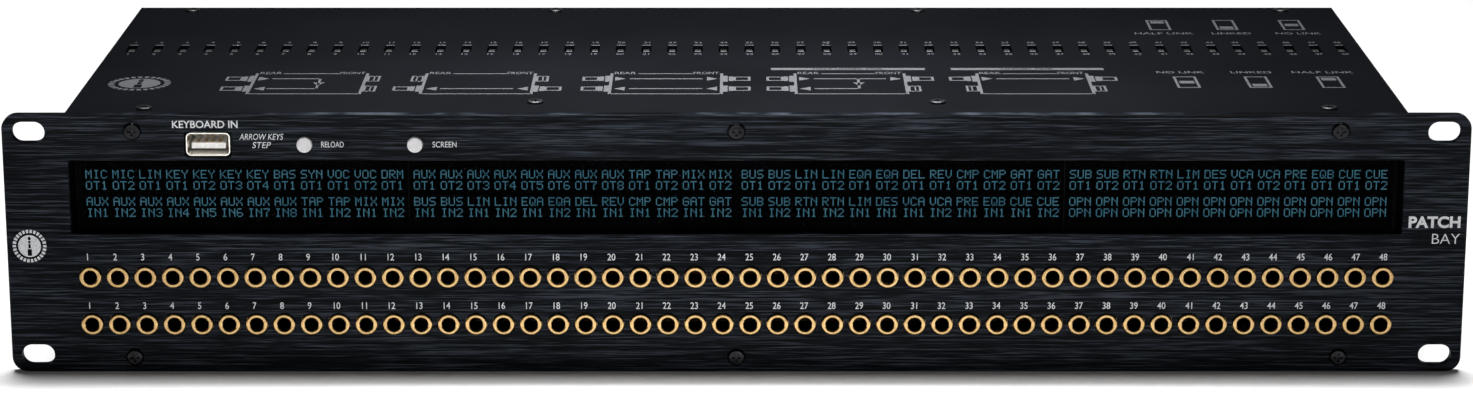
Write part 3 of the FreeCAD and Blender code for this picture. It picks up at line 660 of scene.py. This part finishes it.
def display_text():
    """Every lit dot of the four modules, as shallow tiles on their glass."""
    sheet = Print(on_glass, DOT_LIFT)
    half = DOT_SIZE / 2
    for column, (upper, lower) in enumerate(zip(UPPER_LABELS, LOWER_LABELS)):
        module, slot = divmod(column, MODULE_LABELS)
        centre = (module - (MODULES - 1) / 2) * MODULE_PITCH
        left = centre + (slot * LABEL_DOTS - MARGIN) * DOT_PITCH
        for text, offset in zip(upper + lower, LINE_OFFSETS):
            middle = TEXT_Z + offset * DOT_PITCH
            for place, letter in enumerate(text):
                for u, v in letter_dots(letter, left + place * LETTER_DOTS * DOT_PITCH, middle):
                    sheet.rectangle(u - half, v - half, u + half, v + half)
    sheet.piece("display_text_dots", DOTS, "display_dots")


# ---- cover legends and slot highlights ----

LINE_W = 0.9
WALL_HALF = 0.5
SIGNAL_HALF = 0.55
BOX_FRONT, BOX_REAR = 33.0, 64.4
BOX_GAPS = (9.0, 10.0)      # left open for the words in the far side of a box
BOX_WORDS = (("REAR", 4.6, 7.4), ("FRONT", -5.3, 8.8))      # (text, along, width)
BOX_TEXT_H, BOX_TEXT_RISE = 3.4, 0.6
UPPER_V, LOWER_V = 56.2, 41.2

# (left, right, upper and lower plugs at the rear, upper and lower plugs at the front)
DIAGRAMS = [
    (-164.7, -126.8, (True, True), (False, False)),
    (-106.4, -69.1, (False, True), (False, True)),
    (-42.8, -5.1, (True, True), (True, True)),
    (20.1, 57.6, (True, True), (True, False)),
    (82.6, 120.3, (True, False), (True, False)),
]

# Signals in those diagrams: (height, start, end, direction, arrow tips). Starts, ends and tips are
# measured from the left side of the box or, if negative, from the right. The named ones are the
# tips where a signal comes in or goes out
RIGHTWARD_IN, RIGHTWARD_OUT = 5.0, -1.3
LEFTWARD_IN, LEFTWARD_OUT = -5.2, 1.3
SIGNALS = [
    [(UPPER_V, 6.0, 23.0, 1, RIGHTWARD_IN), (LOWER_V, 5.8, 23.0, -1, LEFTWARD_OUT)],
    [(LOWER_V, 6.0, -6.5, -1, LEFTWARD_OUT, LEFTWARD_IN)],
    [
        (UPPER_V, 6.3, -6.5, 1, RIGHTWARD_IN, RIGHTWARD_OUT),
        (LOWER_V, 6.3, -6.5, -1, LEFTWARD_OUT, LEFTWARD_IN),
    ],
    [
        (UPPER_V, 6.3, -6.5, 1, RIGHTWARD_IN, RIGHTWARD_OUT),
        (LOWER_V, 6.3, 22.0, -1, LEFTWARD_OUT),
    ],
    [(UPPER_V, 6.3, -6.5, 1, RIGHTWARD_IN, RIGHTWARD_OUT)],
]
CROSS_FEEDS = [22.5, None, None, 21.5, None]        # from the left side, where there is one
LINK_HALF = 0.45
# The cross feed's arrowhead, as (across from its middle, height) corners
LINK_ARROW = ((0.0, 45.5), (2.1, 51.0), (LINK_HALF, 50.2), (-LINK_HALF, 50.2), (-2.1, 51.0))

# (start, end, half height) of a plug's shoulder, step and hollow grip, outwards from its box
SHOULDER, STEP, GRIP = (0.0, 1.6, 4.5), (2.0, 3.5, 3.4), (3.5, 9.4, 3.0)
EMPTY_REACH, EMPTY_HALF, EMPTY_LINE = 4.4, 4.2, 0.8
EMPTY_BAR, EMPTY_BAR_HALF = 2.4, 0.25


def plug(sheet, u, v, side):
    """A plug outside a diagram's box."""
    for start, end, half in (SHOULDER, STEP):
        low, high = sorted((u + side * start, u + side * end))
        sheet.rectangle(low, v - half, high, v + half)
    start, end, half = GRIP
    low, high = sorted((u + side * start, u + side * end))
    sheet.outline(low, v - half, high, v + half, LINE_W)


def empty_jack(sheet, u, v, side):
    """An empty socket outside a diagram's box."""
    low, high = sorted((u, u + side * EMPTY_REACH))
    sheet.outline(low, v - EMPTY_HALF, high, v + EMPTY_HALF, EMPTY_LINE)
    bar = u + side * EMPTY_BAR
    sheet.rectangle(bar - EMPTY_BAR_HALF, v - EMPTY_HALF, bar + EMPTY_BAR_HALF, v + EMPTY_HALF)


def diagram(sheet, left, right, rear_plugs, front_plugs):
    """A flow diagram's box with its names, plugs and empty sockets."""
    sheet.rectangle(left, BOX_FRONT, right, BOX_FRONT + LINE_W)
    sheet.rectangle(left + BOX_GAPS[0], BOX_REAR - LINE_W, right - BOX_GAPS[1], BOX_REAR)
    for u in (left, right):
        sheet.rectangle(u - WALL_HALF, BOX_FRONT, u + WALL_HALF, BOX_REAR)
    for u, (text, along, width) in zip((left, right), BOX_WORDS):
        at = (u + along, BOX_REAR + BOX_TEXT_RISE)
        sheet.word(text, *at, BOX_TEXT_H, width, weight=TEXT_WEIGHT)
    for u, side, plugs in ((left, -1, rear_plugs), (right, 1, front_plugs)):
        for v, filled in zip((UPPER_V, LOWER_V), plugs):
            (plug if filled else empty_jack)(sheet, u + side * WALL_HALF, v, side)


def signal(sheet, left, right, v, start, end, direction, *tips):
    """A signal line of a diagram with its arrowheads, all pointing one way."""
    start, end, *tips = [(left if along > 0 else right) + along for along in (start, end, *tips)]
    sheet.rectangle(start, v - SIGNAL_HALF, end, v + SIGNAL_HALF)
    for tip in tips:
        sheet.arrow(tip, v, direction)


def cross_feed(sheet, u):
    """The link that drops from the upper signal to the lower one, with an arrowhead on it."""
    low, high = LOWER_V - SIGNAL_HALF, UPPER_V + SIGNAL_HALF
    sheet.rectangle(u - LINK_HALF, low, u + LINK_HALF, high)
    sheet.prism([(u + du, v) for du, v in LINK_ARROW])


def normalling_diagrams(sheet):
    """Five signal-flow diagrams along the front of the cover."""
    for (left, right, rear, front), signals, link in zip(DIAGRAMS, SIGNALS, CROSS_FEEDS):
        diagram(sheet, left, right, rear, front)
        for each in signals:
            signal(sheet, left, right, *each)
        if link:
            cross_feed(sheet, left + link)


# Rows of switch pictures: (pictures' depth, words' depth, words' shift, pictures), and a picture
# is (across, knob at the front (-1), middle (0) or rear (1), word)
ICON_ROWS = [
    (51.0, 66.2, -0.5, [(153.4, 0, "NO LINK"), (177.7, -1, "LINKED"), (202.4, 1, "HALF LINK")]),
    (144.0, 129.5, 0.5, [(153.6, 1, "HALF LINK"), (177.9, -1, "LINKED"), (202.1, 0, "NO LINK")]),
]
ICON_HALF = (3.95, 8.5)
KNOB_HALF = (2.45, 2.0)
KNOB_TRAVEL = 4.6
ICON_TEXT_H, ICON_LETTER_W = 3.0, 2.35

SLOT_NUMBERS = (95.2, 114.2)
SLOT_NUMBER_H, SLOT_CONDENSE = 2.1, 0.9
# A light bar across the rear end of each switch slot, in the cover's ink: painted highlight where
# the slot's rear edge catches the light
SLOT_EDGE_HIGHLIGHT = (109.2, 110.2)
SLOT_EDGE_HIGHLIGHT_HALF = 1.5

BANNERS = ((11.9, 65.1), (74.1, 126.9))
BANNER_FRONT, BANNER_REAR = 69.7, 72.9
# (text, across, up, height, width) left unprinted in the banners
BANNER_WORDS = [
    ("HALF LINKED PAIR", 38.5, 71.3, 1.9, 24.0),
    ("LINKED PAIR", 100.5, 71.3, 1.9, 18.0),
]
COVER_ROUNDEL = (-203.1, 49.0)
COVER_ROUNDEL_R, COVER_SYMBOL = 10.6, 6.6


def switch_icon(sheet, u, v, knob):
    """An upright switch outline with its knob."""
    half_u, half_v = ICON_HALF
    sheet.outline(u - half_u, v - half_v, u + half_u, v + half_v, LINE_W)
    middle = v + knob * KNOB_TRAVEL
    half_u, half_v = KNOB_HALF
    sheet.rectangle(u - half_u, middle - half_v, u + half_u, middle + half_v)


def slot_numbers_and_edge_highlights(sheet):
    """A number before and behind every switch slot, and a light bar at its rear end: painted
    highlight where the slot's rear edge catches the light.
    """
    for index, (x, _) in enumerate(JACKS["upper"]):
        number = str(index + 1)
        for v in SLOT_NUMBERS:
            sheet.word(number, x, v, SLOT_NUMBER_H, weight=TEXT_WEIGHT, condense=SLOT_CONDENSE)
        sheet.rectangle(x - SLOT_EDGE_HIGHLIGHT_HALF, SLOT_EDGE_HIGHLIGHT[0], x + SLOT_EDGE_HIGHLIGHT_HALF, SLOT_EDGE_HIGHLIGHT[1])


def cover_legends_and_slot_highlights():
    """Everything printed on the cover, and the painted highlights at the rear ends of the switch
    slots.
    """
    sheet = Print(on_cover)
    normalling_diagrams(sheet)
    for low, high in BANNERS:
        sheet.rectangle(low, BANNER_FRONT, high, BANNER_REAR)
    slot_numbers_and_edge_highlights(sheet)
    for icon_v, text_v, shift, icons in ICON_ROWS:
        for u, knob, text in icons:
            switch_icon(sheet, u, icon_v, knob)
            width = ICON_LETTER_W * len(text)
            sheet.word(text, u + shift, text_v, ICON_TEXT_H, width, weight=TEXT_WEIGHT)
    roundel(sheet, *COVER_ROUNDEL, COVER_ROUNDEL_R)
    sheet.piece("cover_legends_and_slot_highlights", COVER_INK_AND_SLOT_HIGHLIGHT, "cover_ink")
    gaps = Print(on_cover, INK_T)
    for word in BANNER_WORDS:
        gaps.word(*word, weight=TEXT_WEIGHT)
    plug_symbol(gaps, *COVER_ROUNDEL, COVER_SYMBOL)
    gaps.piece("cover_knocked_out_marks", KNOCK_OUT, "powder_black")


# ---- rear sockets ----

CONTACT_PITCH = 2.77
CONTACT_ROWS = ((1.42, 13), (-1.42, 12))    # (height over the middle, how many)
CONTACT_R, CONTACT_BORE_R = 0.72, 0.5
CONTACT_STEPS = 12
BANK_SOCKETS = 6        # in each of the two banks: inputs below, outputs above
SOCKET_CHANNELS = 8
REAR_TEXT_H, REAR_TEXT_RISE, REAR_TEXT_REACH = 2.4, 8.9, 16.0
INLET_TEXT = (206.0, 69.0)


def rear_sockets():
    """Gilt contacts in the faces of the multi-way sockets, each with a near-black disc in its
    middle: painted shade for the depth of its bore.
    """
    rims, bore_shades = Print(on_rear, SOCKET_FACE), Print(on_rear, SOCKET_FACE + INK_T)
    for x, z in SOCKETS:
        for rise, count in CONTACT_ROWS:
            for i in range(count):
                at = (-x + (i - (count - 1) / 2) * CONTACT_PITCH, z + rise)
                rims.disc(*at, CONTACT_R, CONTACT_STEPS)
                bore_shades.disc(*at, CONTACT_BORE_R, CONTACT_STEPS)
    rims.piece("socket_contact_rims", SOCKET_GOLD, "gold_plate")
    bore_shades.piece("socket_contact_bore_shade", SOCKET_BORE_SHADE, "black_plastic")


def rear_legends():
    """Channel ranges over the sockets and the name of the inlet."""
    sheet = Print(on_rear)

    def label(text, u, v):
        sheet.word(text, u, v, REAR_TEXT_H, weight=TEXT_WEIGHT)

    for index, (x, z) in enumerate(SOCKETS):
        bank, place = divmod(index, BANK_SOCKETS)
        first = place * SOCKET_CHANNELS + 1
        label("%d - %d" % (first, first + SOCKET_CHANNELS - 1), -x, z + REAR_TEXT_RISE)
        label(("IN", "OUT")[bank], -x - REAR_TEXT_REACH, z + REAR_TEXT_RISE)
    label("DC IN", *INLET_TEXT)
    sheet.piece("rear_legends", REAR_INK, "panel_ink")


# ---- studio ----

FLOOR_HALF = 60.0
SEEN_COLOUR, SEEN_STRENGTH = (1.0, 1.0, 1.0, 1.0), 1.0
AROUND_COLOUR, AROUND_STRENGTH = (0.93, 0.97, 1.0, 1.0), 0.035
SUN_STRENGTH, SUN_SIZE, SUN_TILT = 3.7, 18, -10     # the last two in degrees

# (name, place, tilt, size, watts, spread): tilt is up from straight down; angles in degrees
SOFTBOXES = [
    ("softbox_over", (0.0, FACE_Y + 0.05, 0.29), 0, (0.3, 0.04), 1.0, 110),
    ("softbox_front", (0.0, FACE_Y - 0.8, 0.12), 90, (1.2, 0.16), 1.48, 180),
    ("strip_front", (0.0, FACE_Y - 0.8, 0.11), 90, (0.5, 0.03), 0.04, 7),
]

LENS, SENSOR = 93.5, 36.0
CAMERA_BACK, CAMERA_HEIGHT = 1.22, 0.379    # from the panel's face, and over the floor
CAMERA_DOWN = 14.72                         # degrees below level


def pale_floor():
    """A wide pale floor."""
    size = FLOOR_HALF
    mesh = bpy.data.meshes.new("floor")
    corners = [(-size, -size, 0), (size, -size, 0), (size, size, 0), (-size, size, 0)]
    mesh.from_pydata(corners, [], [(0, 1, 2, 3)])
    floor = bpy.data.objects.new("floor", mesh)
    bpy.context.scene.collection.objects.link(floor)
    made, tree, shader = material("pale_floor", specular=0.1, roughness=0.8)
    paper = noise(tree, 3.0, 2.0, 0.5)
    shade = ramp(tree, paper, (0.3, (0.86, 0.86, 0.86)), (0.7, (0.9, 0.9, 0.9)))
    tree.links.new(shade, shader.inputs["Base Color"])
    mesh.materials.append(made)


def surroundings():
    """White where the camera sees them, and dim where they light the unit."""
    world = bpy.data.worlds.new("studio")
    world.use_nodes = True
    bpy.context.scene.world = world
    tree = world.node_tree
    seen = tree.nodes["Background"]
    seen.inputs["Color"].default_value = SEEN_COLOUR
    seen.inputs["Strength"].default_value = SEEN_STRENGTH
    around = tree.nodes.new("ShaderNodeBackground")
    around.inputs["Color"].default_value = AROUND_COLOUR
    around.inputs["Strength"].default_value = AROUND_STRENGTH
    ray = tree.nodes.new("ShaderNodeLightPath")
    choice = tree.nodes.new("ShaderNodeMixShader")
    tree.links.new(ray.outputs["Is Camera Ray"], choice.inputs["Fac"])
    tree.links.new(around.outputs["Background"], choice.inputs[1])
    tree.links.new(seen.outputs["Background"], choice.inputs[2])
    tree.links.new(choice.outputs["Shader"], tree.nodes["World Output"].inputs["Surface"])


def hang(light, tilt):
    """A lamp for a light, turned up from straight down by a tilt in degrees."""
    lamp = bpy.data.objects.new(light.name, light)
    lamp.rotation_euler = (math.radians(tilt), 0, 0)
    bpy.context.scene.collection.objects.link(lamp)
    return lamp


def lights():
    """Soft sunlight from over the unit's back, and three soft rectangular lights."""
    sun = bpy.data.lights.new("overhead", "SUN")
    sun.energy = SUN_STRENGTH
    sun.angle = math.radians(SUN_SIZE)
    hang(sun, SUN_TILT)
    for name, place, tilt, size, watts, spread_angle in SOFTBOXES:
        light = bpy.data.lights.new(name, "AREA")
        light.shape = "RECTANGLE"
        light.size, light.size_y = size
        light.energy = watts
        light.spread = math.radians(spread_angle)
        lamp = hang(light, tilt)
        lamp.location = place
        lamp.visible_camera = False


def camera():
    """The viewpoint: a little above the unit, square to the panel, looking slightly down."""
    data = bpy.data.cameras.new("camera")
    data.sensor_width = SENSOR
    data.lens = LENS
    data.clip_start, data.clip_end = 0.05, 200.0
    viewer = bpy.data.objects.new("camera", data)
    viewer.location = (0.0, FACE_Y - CAMERA_BACK, CAMERA_HEIGHT)
    viewer.rotation_euler = (math.radians(90 - CAMERA_DOWN), 0, 0)
    bpy.context.scene.collection.objects.link(viewer)
    bpy.context.scene.camera = viewer


finish_cad_nodes()
bushings("upper")
bushings("lower")
panel_legends()
display_text()
cover_legends_and_slot_highlights()
rear_sockets()
rear_legends()
pale_floor()
surroundings()
lights()
camera()
bpy.context.scene.view_settings.view_transform = "Standard"
